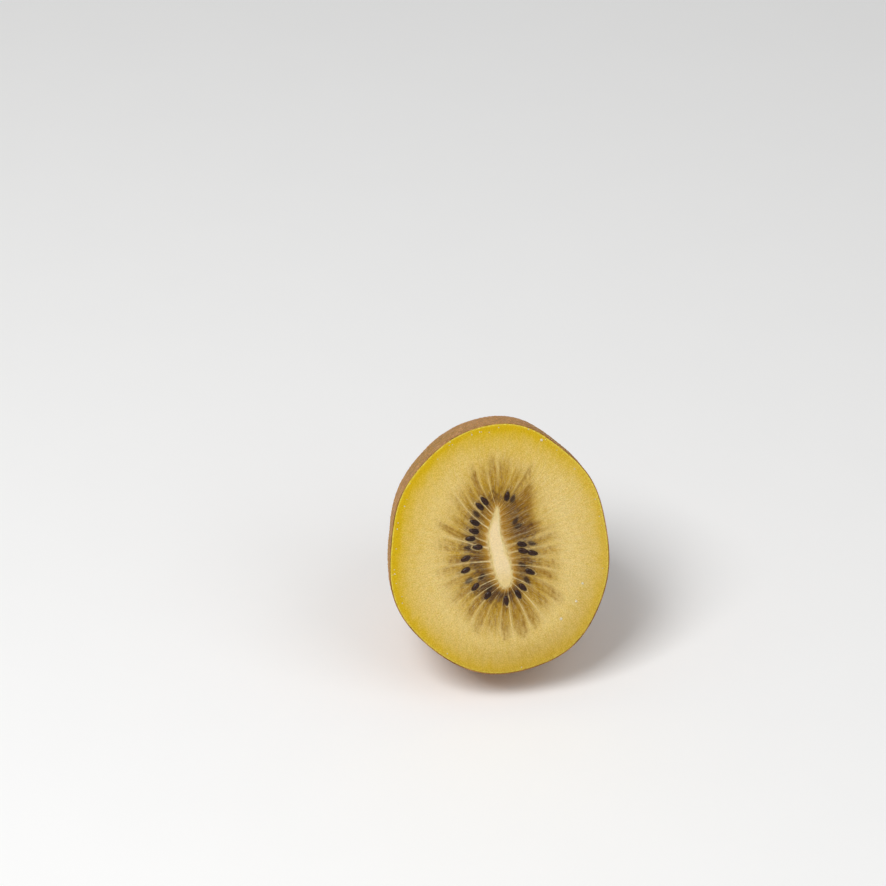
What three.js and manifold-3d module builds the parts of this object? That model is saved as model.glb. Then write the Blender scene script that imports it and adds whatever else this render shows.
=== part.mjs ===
// Half of a golden kiwi fruit, cut crosswise and leaning back on its rounded side.
// Units are millimetres. The half is shaped in its own frame: X runs right across the cut face, Y from
// the cut face to the stem end, and Z up the cut face. It is then leant back and set down, so that the
// centre of the flat spot it rests on is the origin of the part and Z points up.
import * as THREE from 'three';
import { mergeVertices } from 'three/addons/utils/BufferGeometryUtils.js';
import Module from 'manifold-3d';

const wasm = await Module();
wasm.setup();

// The body
const FACE_HALF_WIDTH = 23.5;
const FACE_HALF_HEIGHT = 27.1;
const HALF_LENGTH = 36;
const BLUNTNESS = 2.8; // exponent of the curve from the rim to the stem end, where 2 is an ellipse
const AXIS_BEND = { side: 2, up: -2.3 }; // the stem end's place beside and above the face's centre
const OUTLINE_WAVES = [
  { count: 3, cosine: -0.0063, sine: -0.0122 },
  { count: 4, cosine: -0.0015, sine: 0.002 },
  { count: 6, cosine: -0.0054, sine: 0.0051 },
  { count: 7, cosine: 0.002, sine: -0.0034 },
  { count: 8, cosine: -0.0024, sine: -0.0023 },
  { count: 9, cosine: 0.0012, sine: -0.003 },
];
const SKIN_THICKNESS = 0.7;
const FIT_GAP = 0.3; // kept between one piece and the next

// How the half lies
const LEAN = THREE.MathUtils.degToRad(25);
const FACE_CENTRE = new THREE.Vector3(-0.9, -13, 31.9);

// The stem scar at the far end: a shallow dimple with a raised woody ring in it
const SCAR_ZONE = 0.3; // share of the body's radius that is drawn with finer rings
const SCAR_RINGS = 8;
const DIMPLE_DEPTH = 1.1;
const DIMPLE_SPREAD = 6;
const RING_RADIUS = 2.6;
const RING_HEIGHT = 0.9;
const RING_SPREAD = 0.8;

// The core, a flame with a wide foot that bows to the left above its middle and to the right at its foot
const CORE_CENTRE = 0.75; // its middle's height above the face's centre
const CORE_HALF_HEIGHT = 8.9;
const CORE_HALF_WIDTH = { middle: 1.75, foot: 0.95 };
const CORE_SHIFT = -0.05;
const CORE_BOWS = [
  { right: -0.95, rise: 0.36, spread: 0.42 },
  { right: 0.95, rise: -0.95, spread: 0.5 },
];
const CORE_LENGTH = 28;
const CORE_BLUNTNESS = 2.4;

// The seeds, which lie in the locules that stand in a ring round the core
const LOCULES = 34;
const SEED_RING = { side: 0.2, up: 1.2, halfWidth: 6.9, halfHeight: 11.3 };
// Two rows of seeds. Each runs at a share of the ring, with swells outwards or inwards at some degrees
// from the face's right side and anticlockwise. Each has one letter for each locule, in the same order:
// b is a seed that the knife laid bare, v one under a veil of flesh, and a dot is none.
const OUTER_ROW = {
  share: 0.97,
  swells: [
    { by: 0.09, at: 280, spread: 70 },
    { by: -0.12, at: 156, spread: 14 },
    { by: 0.2, at: 206, spread: 20 },
  ],
  seeds: 'v.....vb...bbvbbbvbbvb.b..b.bbvb.b',
};
const INNER_ROW = {
  share: 0.67,
  swells: [{ by: 0.26, at: 262, spread: 62 }],
  seeds: 'b..vv............b...v.v.......v.b',
};
const SEED = { length: 2.2, width: 1.2, root: 0.9, taper: 0.3 };
const SEED_PROUD = { b: 0.35, v: 0.15 };
const SEED_SCATTER = { along: 0.03, turn: 0.5 };

// How finely the round shapes are faceted
const BODY_SEGMENTS = 56;
const WALL_RINGS = 12;
const CORE_SEGMENTS = 24;
const CORE_RINGS = 9;
const SEED_SEGMENTS = 8;
const SEED_RINGS = 6;
const OVERSHOOT = 1; // how far a cutting shape runs past the face that it cuts
const GROUND_SIZE = 200;

const half = new THREE.Group();
half.rotation.x = -LEAN;
half.position.copy(FACE_CENTRE);
half.updateMatrix();

// A bell curve that is 1 at zero and falls away over the given spread.
function bell(distance, spread) {
  return Math.exp(-((distance / spread) ** 2));
}

// A number from -0.5 to 0.5 that is always the same for the same index and salt.
function scatter(index, salt) {
  const wave = Math.sin(index * 12.9898 + salt * 78.233) * 43758.5453;
  return wave - Math.floor(wave) - 0.5;
}

// A closed solid of a geometry, with its doubled vertices merged.
function solidOf(geometry) {
  geometry.deleteAttribute('normal');
  geometry.deleteAttribute('uv');
  const merged = mergeVertices(geometry, 1e-4);
  const corners = merged.index.array;
  const triangles = [];
  for (let i = 0; i < corners.length; i += 3) {
    const [a, b, c] = corners.slice(i, i + 3);
    if (a !== b && b !== c && c !== a) triangles.push(a, b, c);
  }
  return new wasm.Manifold(new wasm.Mesh({
    numProp: 3,
    vertProperties: merged.attributes.position.array,
    triVerts: new Uint32Array(triangles),
  }));
}

// A named mesh of a solid, with its material.
function meshOf(name, solid, material) {
  const surface = solid.getMesh();
  const geometry = new THREE.BufferGeometry();
  geometry.setAttribute('position', new THREE.BufferAttribute(surface.vertProperties, 3));
  geometry.setIndex(new THREE.BufferAttribute(surface.triVerts, 1));
  geometry.computeVertexNormals();
  const mesh = new THREE.Mesh(geometry, new THREE.MeshStandardMaterial(material));
  mesh.name = name;
  return mesh;
}

// A lathe turned round the Y axis, whose vertices the shape function then moves to their true places.
// It is given the angle from the X axis, the share of the full radius and the depth of each vertex.
function shapedLathe(profile, segments, shape) {
  const geometry = new THREE.LatheGeometry(profile, segments);
  const position = geometry.attributes.position;
  for (let i = 0; i < position.count; i += 1) {
    const angle = Math.atan2(position.getZ(i), position.getX(i));
    const share = Math.hypot(position.getX(i), position.getZ(i));
    position.setXYZ(i, ...shape(angle, share, position.getY(i)));
  }
  return geometry;
}

// The sideways and upward place of the fruit's long axis at a depth: it bends as a parabola does.
function axisAt(depth) {
  const bend = (Math.max(depth, 0) / HALF_LENGTH) ** 2;
  return [AXIS_BEND.side * bend, AXIS_BEND.up * bend];
}

// The body under a layer of the given thickness, from the front plane to the stem end. The section is
// an ellipse with the outline's waves, and shrinks along the length as a superellipse.
function bodyGeometry(inset, front, ringHeight) {
  const halfWidth = FACE_HALF_WIDTH - inset;
  const halfHeight = FACE_HALF_HEIGHT - inset;
  const length = HALF_LENGTH - inset;
  const profile = [new THREE.Vector2(0, front), new THREE.Vector2(1, front)];
  if (front < 0) profile.push(new THREE.Vector2(1, 0));
  for (let i = 1; i <= WALL_RINGS; i += 1) {
    const turn = Math.acos(SCAR_ZONE ** (BLUNTNESS / 2)) * (i / WALL_RINGS);
    profile.push(new THREE.Vector2(
      Math.cos(turn) ** (2 / BLUNTNESS),
      length * Math.sin(turn) ** (2 / BLUNTNESS),
    ));
  }
  for (let i = 1; i <= SCAR_RINGS; i += 1) {
    const share = SCAR_ZONE * (1 - i / SCAR_RINGS);
    profile.push(new THREE.Vector2(share, length * (1 - share ** BLUNTNESS) ** (1 / BLUNTNESS)));
  }
  return shapedLathe(profile, BODY_SEGMENTS, (angle, share, depth) => {
    let swell = 1;
    for (const wave of OUTLINE_WAVES) {
      swell += share * wave.cosine * Math.cos(wave.count * angle);
      swell += share * wave.sine * Math.sin(wave.count * angle);
    }
    const [side, up] = axisAt(depth);
    const radius = share * FACE_HALF_WIDTH;
    const scar = ringHeight * bell(radius - RING_RADIUS, RING_SPREAD)
      - DIMPLE_DEPTH * bell(radius, DIMPLE_SPREAD);
    return [
      side + share * halfWidth * swell * Math.cos(angle),
      depth > HALF_LENGTH / 2 ? depth + scar : depth,
      up + share * halfHeight * swell * Math.sin(angle),
    ];
  });
}

// The core, grown by the given amount all round and starting at the front plane.
function coreGeometry(growth, front) {
  const length = CORE_LENGTH + growth;
  const profile = [new THREE.Vector2(0, front), new THREE.Vector2(1, front)];
  if (front < 0) profile.push(new THREE.Vector2(1, 0));
  for (let i = 1; i <= CORE_RINGS; i += 1) {
    const turn = (Math.PI / 2) * (i / CORE_RINGS);
    const share = i < CORE_RINGS ? Math.cos(turn) ** (2 / CORE_BLUNTNESS) : 0;
    profile.push(new THREE.Vector2(share, length * Math.sin(turn) ** (2 / CORE_BLUNTNESS)));
  }
  return shapedLathe(profile, CORE_SEGMENTS, (angle, share, depth) => {
    const rise = Math.sin(angle);
    const halfWidth = growth + CORE_HALF_WIDTH.middle - CORE_HALF_WIDTH.foot * rise;
    let middle = CORE_SHIFT;
    for (const bow of CORE_BOWS) middle += bow.right * bell(rise - bow.rise, bow.spread);
    const [side, up] = axisAt(depth);
    return [
      side + share * (middle + halfWidth * Math.cos(angle)),
      depth,
      up + share * (CORE_CENTRE + (CORE_HALF_HEIGHT + growth) * rise),
    ];
  });
}

// One seed of a row, in the locule of the given number. It points outwards along its locule, with its
// narrower end away from the core. Its back stands proud of the face and its root is sunk in the flesh.
function seedGeometry(row, index) {
  const turn = index / LOCULES;
  const heading = turn * 2 * Math.PI;
  let share = row.share + SEED_SCATTER.along * scatter(index, 1);
  for (const swell of row.swells) share += swell.by * bell(turn * 360 - swell.at, swell.spread);
  const side = SEED_RING.side + SEED_RING.halfWidth * share * Math.cos(heading);
  const up = SEED_RING.up + SEED_RING.halfHeight * share * Math.sin(heading);
  const tilt = heading + SEED_SCATTER.turn * scatter(index, 2);
  const proud = SEED_PROUD[row.seeds[index]];

  const geometry = new THREE.SphereGeometry(1, SEED_SEGMENTS, SEED_RINGS);
  const position = geometry.attributes.position;
  for (let i = 0; i < position.count; i += 1) {
    const along = position.getX(i);
    const reach = along * (SEED.length / 2);
    const across = position.getZ(i) * (1 - SEED.taper * along) * (SEED.width / 2);
    const depth = position.getY(i) * (position.getY(i) < 0 ? proud : SEED.root);
    position.setXYZ(
      i,
      side + reach * Math.cos(tilt) - across * Math.sin(tilt),
      depth,
      up + reach * Math.sin(tilt) + across * Math.cos(tilt),
    );
  }
  return geometry;
}

// Every seed of a row, as a list of solids.
function seedSolids(row) {
  const solids = [];
  for (let index = 0; index < LOCULES; index += 1) {
    if (row.seeds[index] in SEED_PROUD) solids.push(solidOf(seedGeometry(row, index)));
  }
  return solids;
}

// All that lies below the given height over the surface the half rests on, in the half's own frame.
function groundBelow(height) {
  const ground = new THREE.BoxGeometry(GROUND_SIZE, GROUND_SIZE, GROUND_SIZE);
  ground.translate(0, 0, height - GROUND_SIZE / 2);
  ground.applyMatrix4(half.matrix.clone().invert());
  return solidOf(ground);
}

function skin() {
  const outside = solidOf(bodyGeometry(0, 0, RING_HEIGHT)).subtract(groundBelow(0));
  const inside = solidOf(bodyGeometry(SKIN_THICKNESS, -OVERSHOOT, 0)).subtract(groundBelow(SKIN_THICKNESS));
  return meshOf('skin', outside.subtract(inside), { color: 0xb8935a, roughness: 0.8, metalness: 0 });
}

function flesh() {
  const inset = SKIN_THICKNESS + FIT_GAP;
  let solid = solidOf(bodyGeometry(inset, 0, 0)).subtract(groundBelow(inset));
  solid = solid.subtract(solidOf(coreGeometry(FIT_GAP, -OVERSHOOT)));
  for (const seed of [...seedSolids(OUTER_ROW), ...seedSolids(INNER_ROW)]) solid = solid.add(seed);
  return meshOf('flesh', solid, { color: 0xd4b060, roughness: 0.35, metalness: 0 });
}

function core() {
  return meshOf('core', solidOf(coreGeometry(0, 0)), { color: 0xe5cd9d, roughness: 0.5, metalness: 0 });
}

half.add(skin(), flesh(), core());

export default half;
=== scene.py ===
"""Half of a golden kiwi fruit, cut crosswise and leaning back on its rounded side.

Lengths are in metres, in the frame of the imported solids. The half is shaped in its own frame and then
set down: side runs right across the cut face, depth runs from the cut face to the stem end, and up runs
up the cut face. An angle is counted anticlockwise from the side direction, as seen from the front.
"""

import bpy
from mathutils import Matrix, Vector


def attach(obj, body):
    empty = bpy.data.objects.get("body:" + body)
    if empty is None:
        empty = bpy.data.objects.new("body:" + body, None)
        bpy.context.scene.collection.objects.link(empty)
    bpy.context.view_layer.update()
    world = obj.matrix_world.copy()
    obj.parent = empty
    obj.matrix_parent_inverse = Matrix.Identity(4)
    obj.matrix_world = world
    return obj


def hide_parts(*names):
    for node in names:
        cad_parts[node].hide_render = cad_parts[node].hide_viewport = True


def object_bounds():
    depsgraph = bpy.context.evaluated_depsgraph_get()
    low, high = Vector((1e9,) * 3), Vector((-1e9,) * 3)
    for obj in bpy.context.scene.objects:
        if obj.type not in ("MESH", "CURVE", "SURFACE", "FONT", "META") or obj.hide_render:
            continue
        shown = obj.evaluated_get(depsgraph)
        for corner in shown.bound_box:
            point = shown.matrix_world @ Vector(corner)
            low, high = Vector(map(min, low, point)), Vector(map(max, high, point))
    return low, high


bl_info = {
    "name": "Golden kiwi half",
    "version": (1, 0, 0),
    "blender": (4, 5, 0),
    "location": "3D View > Sidebar > Kiwi",
    "description": "Builds the skin, flesh, core, seeds and juice of a cut golden kiwi fruit",
    "category": "Object",
}

import itertools
import math
from types import SimpleNamespace

import bpy
import numpy as np
from bpy.props import FloatProperty, FloatVectorProperty, IntProperty, PointerProperty
from mathutils import Vector

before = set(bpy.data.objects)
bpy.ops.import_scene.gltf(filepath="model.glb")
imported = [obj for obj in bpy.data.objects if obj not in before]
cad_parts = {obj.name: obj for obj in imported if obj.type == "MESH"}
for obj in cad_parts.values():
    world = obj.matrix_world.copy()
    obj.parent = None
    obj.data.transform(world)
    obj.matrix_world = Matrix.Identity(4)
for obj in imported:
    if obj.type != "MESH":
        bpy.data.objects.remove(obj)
CAD_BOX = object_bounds()

MM = 0.001

# The body, as in the solids. Its waves are (count round the edge, cosine's share, sine's share)
FACE_CENTRE = np.array([-0.9, -13, 31.9]) * MM
OUTLINE_WAVES = (
    (3, -0.0063, -0.0122), (4, -0.0015, 0.002), (6, -0.0054, 0.0051),
    (7, 0.002, -0.0034), (8, -0.0024, -0.0023), (9, 0.0012, -0.003),
)
DIMPLE_DEPTH = 1.1 * MM
DIMPLE_SPREAD = 6 * MM

# The core, a flame with a wide foot. Its bows are (to the right, rise, spread)
CORE_CENTRE = 0.75 * MM
CORE_HALF_HEIGHT = 8.9 * MM
CORE_HALF_WIDTH = {"middle": 1.75 * MM, "foot": 0.95 * MM}
CORE_SHIFT = -0.05 * MM
CORE_BOWS = ((-0.95 * MM, 0.36, 0.42), (0.95 * MM, -0.95, 0.5))
CORE_LENGTH = 28 * MM
CORE_BLUNTNESS = 2.4

# The seeds' rows, as in the solids: swells are (by, at degrees, spread), b is bare and v is veiled
LOCULES = 34
SEED_RING = {"side": 0.2 * MM, "up": 1.2 * MM, "half_width": 6.9 * MM, "half_height": 11.3 * MM}
OUTER_ROW = {
    "share": 0.97,
    "swells": ((0.09, 280, 70), (-0.12, 156, 14), (0.2, 206, 20)),
    "seeds": "v.....vb...bbvbbbvbbvb.b..b.bbvb.b",
}
INNER_ROW = {
    "share": 0.67,
    "swells": ((0.26, 262, 62),),
    "seeds": "b..vv............b...v.v.......v.b",
}
SEED_SCATTER = {"along": 0.03, "turn": 0.5}

# How far rays lean, as (degrees at the rim, degrees at the core, at degrees, spread)
RAY_LEANS = ((-24, 8, 148, 40), (9, -5, 8, 24))

# Parts of the cut face that differ from the rest, as (at degrees, spread)
FOOT = (265, 55)
CROWN = (95, 45)
SUNNY_SIDE = (165, 75)
# Painted shade: the heading round which the flesh near the rim is darkened
PAINTED_SHADE_SIDE = (288, 50)
FAINT_RAYS = (96, 22)
STRONG_TEETH = (190, 60)

# The brown patch without rays, from one place to the other, counted in locules
PATCH_START = (0.3, 1.6)
PATCH_END = (6.3, 5.2)

# The core's face: its middle and how far it swells there
CORE_MIDDLE = np.array([CORE_SHIFT - 0.15 * MM, CORE_CENTRE - 1.5 * MM])
CORE_DOME = 0.04 * MM

# The stem scar: a plug, a ring and the skin's apron round it
SCAR_RADIUS = 4.2 * MM
SCAR_RING = {"radius": 2.5 * MM, "spread": 0.55 * MM, "height": 0.9 * MM}
SCAR_PLUG = {"spread": 1.5 * MM, "height": 0.7 * MM}
SCAR_RIDGES = {"count": 17, "radius": 2.1 * MM, "spread": 1.0 * MM, "height": 0.12 * MM}

# The large drops of juice, as (to the right in mm, up in mm, share of the largest radius)
LARGE_DROPS = ((9.85, 23.3, 1.0), (17.3, -8.2, 0.9), (15.8, -12.0, 0.9), (12.4, -15.6, 1.1))

# The headings round which small drops lie, as (radians, spread)
DROP_HEADINGS = ((3.25, 0.28), (1.75, 0.35))

# How far a drop stands out of the face and sits in it, as shares of its radius
DROP_HEIGHT = 0.5
DROP_ROOT = 0.3

# How finely the pieces are drawn
COLUMNS_PER_LOCULE = 16
FACE_ROWS = 150
FLESH_CAVITY_ROWS = 6
FLESH_WALL_ROWS = 10
CORE_FACE_ROWS = 30
CORE_WALL_ROWS = 12
SKIN_COLUMNS = 560
SKIN_ROWS = 165
SKIN_INNER_ROWS = 6
SCAR_COLUMNS = 180
SCAR_ROWS = 60
SEED_COLUMNS = 28
SEED_ROWS = 18
DROP_COLUMNS = 14
DROP_ROWS = 7

# The camera's place, from the photograph's edge of the cut face
VIEW_AZIMUTH = -7.5
VIEW_ELEVATION = 38.0
VIEW_DISTANCE = 0.75
IMAGE_SIZE = 886
FACE_PIXEL = (501.2, 550.5)
PIXELS_PER_METRE = 4737.0
SENSOR_WIDTH = 36.0

# The floor and the lights
FLOOR_RADIUS = 6.0
FLOOR_SIDES = 64
KEY_LIGHT = {"azimuth": -50, "elevation": 58, "distance": 0.9, "size": 0.4}
FILL_LIGHT = {"azimuth": 50, "elevation": 48, "distance": 1.0, "size": 0.7}


def linear(red, green, blue):
    """A colour given as screen values from 0 to 255, as the scene's linear values."""
    shares = np.array([red, green, blue]) / 255
    low = shares / 12.92
    high = ((shares + 0.055) / 1.055) ** 2.4
    return tuple(float(x) for x in np.where(shares <= 0.04045, low, high))


def length(name, description, default):
    """A size that a user may change."""
    return FloatProperty(name=name, description=description, default=default, unit="LENGTH", precision=5)


def share(name, description, default):
    """A share from 0 to 1 that a user may change."""
    return FloatProperty(
        name=name, description=description, default=default, min=0, max=1, subtype="FACTOR"
    )


def colour(name, description, default):
    """A colour that a user may change."""
    return FloatVectorProperty(
        name=name, description=description, default=default, min=0, max=1, subtype="COLOR", size=3
    )


class KiwiBody(bpy.types.PropertyGroup):
    """Sizes of the whole half."""

    half_width: length("Half width", "Half of the cut face's width", 23.5 * MM)
    half_height: length("Half height", "Half of the cut face's height", 27.1 * MM)
    half_length: length("Length", "From the cut face to the stem end", 36 * MM)
    bluntness: FloatProperty(
        name="Bluntness", description="Exponent of the curve from rim to stem end", default=2.8, min=1
    )
    bend_side: length("Bend sideways", "The stem end's place to the right of the face's centre", 2 * MM)
    bend_up: length("Bend upwards", "The stem end's place above the face's centre", -2.3 * MM)
    lean: FloatProperty(
        name="Lean", description="How far the half leans back", default=math.radians(25), subtype="ANGLE"
    )


class KiwiSkin(bpy.types.PropertyGroup):
    """Sizes and colours of the skin and the stem scar."""

    thickness: length("Thickness", "How thick the skin is", 0.2 * MM)
    dot_cell: length("Dot spacing", "Size of the cells that hold one dot each", 0.85 * MM)
    dot_radius: length("Dot radius", "Radius of the largest dots", 0.25 * MM)
    dot_height: length("Dot height", "How far the dots stand out", 0.13 * MM)
    lowered: length("Ground depth", "How far the ground between the dots is lowered", 0.09 * MM)
    scar_zone: length("Scar surroundings", "How far the rusty skin reaches round the stem scar", 9 * MM)
    fine_cell: length("Fine dot spacing", "Size of the cells of the finest dots", 0.62 * MM)
    tan: colour("Tan", "The skin's main colour", linear(255, 191, 116))
    gold: colour("Gold", "Where the flesh shines through the skin", linear(232, 180, 84))
    brown: colour("Brown", "The darker clouds", linear(176, 112, 66))
    rust: colour("Rust", "The skin round the stem scar", linear(184, 104, 50))
    dot: colour("Dots", "The raised dots", linear(255, 190, 132))
    flake: colour("Flake", "The pale flakes of the skin", linear(255, 204, 148))
    pit: colour("Pits", "The darkest points between the dots", linear(158, 104, 46))
    edge: colour("Cut edge", "The skin's own cut edge", linear(170, 112, 62))
    wood: colour("Wood", "The stem scar's plug", linear(84, 54, 34))
    rind: colour("Rind", "The pale ring of the stem scar", linear(160, 116, 76))


class KiwiFlesh(bpy.types.PropertyGroup):
    """Sizes and colours of the flesh and the core."""

    locule_reach: length("Locule reach", "How far the locules reach from the core", 10.6 * MM)
    ray_width: length("Ray width", "Half width of the pale rays beside the core", 0.09 * MM)
    rim_width: length("Rim width", "How wide the bright rim is", 2.0 * MM)
    pale: colour("Pale flesh", "The flesh outside the locules", linear(222, 196, 126))
    gold: colour("Golden flesh", "The flesh where it is riper", linear(212, 177, 72))
    rim: colour("Rim", "The band under the skin", linear(205, 169, 0))
    # Painted highlight: a thin pale line beside the skin, standing in for light caught on the cut rim
    painted_rim_highlight: colour("Rim line", "The light line beside the skin", linear(230, 212, 84))
    olive: colour("Olive zone", "The flesh between the locules", linear(181, 141, 16))
    finger: colour("Fingers", "The locules", linear(140, 97, 6))
    glow: colour("Glow", "The flesh next to the core", linear(172, 122, 24))
    haze: colour("Haze", "The shade round the seeds", linear(88, 52, 14))
    veil: colour("Veiled seeds", "Seeds seen through flesh", linear(48, 28, 16))
    ray: colour("Rays", "The pale rays between the locules", linear(238, 222, 172))
    core: colour("Core", "The middle of the core", linear(233, 210, 162))
    core_edge: colour("Core edge", "The core's ends and the rays' roots", linear(222, 196, 134))


class KiwiSeeds(bpy.types.PropertyGroup):
    """Sizes and colours of the bare seeds."""

    seed_length: length("Length", "A seed's length", 2.05 * MM)
    seed_width: length("Width", "A seed's width", 1.1 * MM)
    proud: length("Height", "How far a bare seed stands out of the face", 0.35 * MM)
    root: length("Root", "How deep a bare seed sits in the flesh", 0.6 * MM)
    taper: share("Taper", "How much narrower its outer end is", 0.18)
    dark: colour("Dark", "The seeds' main colour", linear(36, 18, 10))
    light: colour("Light", "The seeds' worn places", linear(74, 44, 28))


class KiwiJuice(bpy.types.PropertyGroup):
    """The small drops on the cut face."""

    drops: IntProperty(name="Drops", description="How many small drops lie along the rim", default=34)
    radius: length("Radius", "Radius of the largest drops", 0.3 * MM)
    seed: IntProperty(name="Seed", description="Start of the random draw", default=7)


class KiwiStage(bpy.types.PropertyGroup):
    """The floor and the light."""

    floor: colour("Floor", "The floor's colour", (0.94, 0.94, 0.935))
    key_power: FloatProperty(name="Key light", description="The key light's watts", default=5.25)
    fill_power: FloatProperty(name="Fill light", description="The fill light's watts", default=1.8)
    sky: FloatProperty(name="Sky", description="Strength of the light from all round", default=0.32)


# Shapes

def bell(distance, spread):
    """A bell curve: one at zero, and falling as the exponential of minus the square."""
    return np.exp(-((distance / spread) ** 2))


def toward(turn, heading, spread):
    """A bell curve round a heading, all in degrees."""
    return bell(np.mod(turn - heading + 180, 360) - 180, spread)


def ramp(value, start, end):
    """A smooth step: zero up to start, one from end on, and three x squared less two x cubed between."""
    x = np.clip((value - start) / (end - start), 0, 1)
    return x * x * (3 - 2 * x)


def scatter(index, salt):
    """A number from -0.5 to 0.5 for each index, always the same: the fraction of a steep sine.

    The salt is any number that tells one use from another.
    """
    wave = np.sin(np.asarray(index) * 12.9898 + salt * 78.233) * 43758.5453
    return wave - np.floor(wave) - 0.5


def cloud(points, size, salt):
    """Soft waves between about -1 and 1: the mean of seven sines that run in scattered directions."""
    total = np.zeros(points.shape[:-1])
    for index in range(7):
        direction = np.array([scatter(index, salt + axis) for axis in range(points.shape[-1])])
        direction *= 2 * math.pi / (np.linalg.norm(direction) * size * (0.6 + 0.12 * index))
        total += np.sin(points @ direction + 20 * scatter(index, salt + 3))
    return total / 3.5


def dot_field(points, cell, radius, salt):
    """Signed distance to the nearest of many balls, one in each cube of space, less than zero inside.

    Each cube of the given size holds a ball at a scattered place with a scattered radius, and each
    point takes the smallest distance to the balls of its own cube and its 26 neighbours.
    """
    home = np.floor(points / cell)
    nearest = np.full(points.shape[:-1], cell)
    for offset in itertools.product((-1, 0, 1), repeat=3):
        cube = home + np.array(offset)
        key = cube @ np.array([127.1, 311.7, 74.7])
        place = np.stack([scatter(key, salt + axis) + 0.5 for axis in range(3)], axis=-1)
        size = radius * (0.8 + 0.4 * scatter(key, salt + 3))
        apart = np.linalg.norm(points - (cube + place) * cell, axis=-1) - size
        nearest = np.minimum(nearest, apart)
    return nearest


def turned_back(side, depth, up):
    """Steps in the half's own frame, leant back about the side axis."""
    lean = bpy.context.scene.kiwi_body.lean
    return np.stack([
        side,
        depth * math.cos(lean) + up * math.sin(lean),
        up * math.cos(lean) - depth * math.sin(lean),
    ], axis=-1)


def in_frame(side, depth, up):
    """Points of the half's own frame, leant back and moved to their place."""
    return FACE_CENTRE + turned_back(side, depth, up)


def settled(points, lift):
    """Points kept in the solids' box, and so far above the floor, which makes the flat spot."""
    low, high = (np.array(corner) for corner in CAD_BOX)
    points = np.clip(points, low, high)
    points[..., 2] = np.maximum(points[..., 2], lift)
    return points


def outline(angle, inset=0.0, fade=1.0):
    """Sideways and upward place of the body's edge: an ellipse times one plus the outline's waves."""
    body = bpy.context.scene.kiwi_body
    swell = 1.0
    for count, cosine, sine in OUTLINE_WAVES:
        swell = swell + fade * (cosine * np.cos(count * angle) + sine * np.sin(count * angle))
    side = (body.half_width - inset) * swell * np.cos(angle)
    return side, (body.half_height - inset) * swell * np.sin(angle)


def axis_at(depth):
    """Sideways and upward place of the fruit's long axis at a depth, which bends as a parabola."""
    body = bpy.context.scene.kiwi_body
    bend = (np.maximum(depth, 0) / body.half_length) ** 2
    return body.bend_side * bend, body.bend_up * bend


def wall_turns(rows):
    """Turns from the rim to the stem end, chosen so that the rows lie evenly along the body's curve."""
    body = bpy.context.scene.kiwi_body
    turns = np.linspace(0, math.pi / 2, 4000)
    across = body.half_height * np.cos(turns) ** (2 / body.bluntness)
    along = body.half_length * np.sin(turns) ** (2 / body.bluntness)
    steps = np.hypot(np.diff(across), np.diff(along))
    travelled = np.concatenate([[0], np.cumsum(steps)])
    return np.interp(np.linspace(0, travelled[-1], rows), travelled, turns)


def body_wall(angle, turn, inset):
    """The body's side from rim to stem end: the outline shrinks as a superellipse, with the dimple."""
    body = bpy.context.scene.kiwi_body
    shrink = np.maximum(np.cos(turn), 0)[:, None] ** (2 / body.bluntness)
    depth = (body.half_length - inset) * np.sin(turn)[:, None] ** (2 / body.bluntness)
    side, up = outline(angle[None, :], inset, shrink)
    axis_side, axis_up = axis_at(depth)
    dimple = DIMPLE_DEPTH * bell(shrink * body.half_width, DIMPLE_SPREAD)
    depth = depth - np.where(depth > body.half_length / 2, dimple, 0)
    return axis_side + shrink * side, depth + 0 * angle[None, :], axis_up + shrink * up


def core_outline(angle, growth=0.0):
    """The core's edge on the cut face: a flame whose half width grows towards its foot, with two bows."""
    rise = np.sin(angle)
    half_width = growth + CORE_HALF_WIDTH["middle"] - CORE_HALF_WIDTH["foot"] * rise
    middle = CORE_SHIFT
    for right, height, spread in CORE_BOWS:
        middle = middle + right * bell(rise - height, spread)
    return middle + half_width * np.cos(angle), CORE_CENTRE + (CORE_HALF_HEIGHT + growth) * rise


def core_wall(angle, rows):
    """The core's side from the cut face to its end: its outline shrinks as a superellipse."""
    turn = np.linspace(0, math.pi / 2, rows + 1)[1:-1]
    shrink = np.cos(turn)[:, None] ** (2 / CORE_BLUNTNESS)
    depth = CORE_LENGTH * np.sin(turn)[:, None] ** (2 / CORE_BLUNTNESS)
    side, up = core_outline(angle[None, :])
    axis_side, axis_up = axis_at(depth)
    return axis_side + shrink * side, depth + 0 * angle[None, :], axis_up + shrink * up


def locule_angles():
    """Column angles round the face, and each column's place counted in locules.

    Seeds lie at whole numbers. The rays between them, at the halves, are moved a little to either side
    by a squared sine that leaves the seeds' columns where they are.
    """
    columns = LOCULES * COLUMNS_PER_LOCULE
    place = np.arange(columns) / COLUMNS_PER_LOCULE
    drift = 0.3 * scatter(np.floor(place), 11) * np.sin(math.pi * place) ** 2
    return (place + drift) * 2 * math.pi / LOCULES, place


def leant(angle):
    """Angles where rays meet the rim and the core: the ring's angle plus bells round some headings."""
    rim = angle.copy()
    core = angle.copy()
    for at_rim, at_core, heading, spread in RAY_LEANS:
        share_here = toward(np.degrees(angle), heading, spread)
        rim += math.radians(at_rim) * share_here
        core += math.radians(at_core) * share_here
    return rim, core


def ring_place(angle):
    """Places on the ellipse that the seeds' rows follow."""
    return np.stack([
        SEED_RING["side"] + SEED_RING["half_width"] * np.cos(angle),
        SEED_RING["up"] + SEED_RING["half_height"] * np.sin(angle),
    ], axis=-1)


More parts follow.
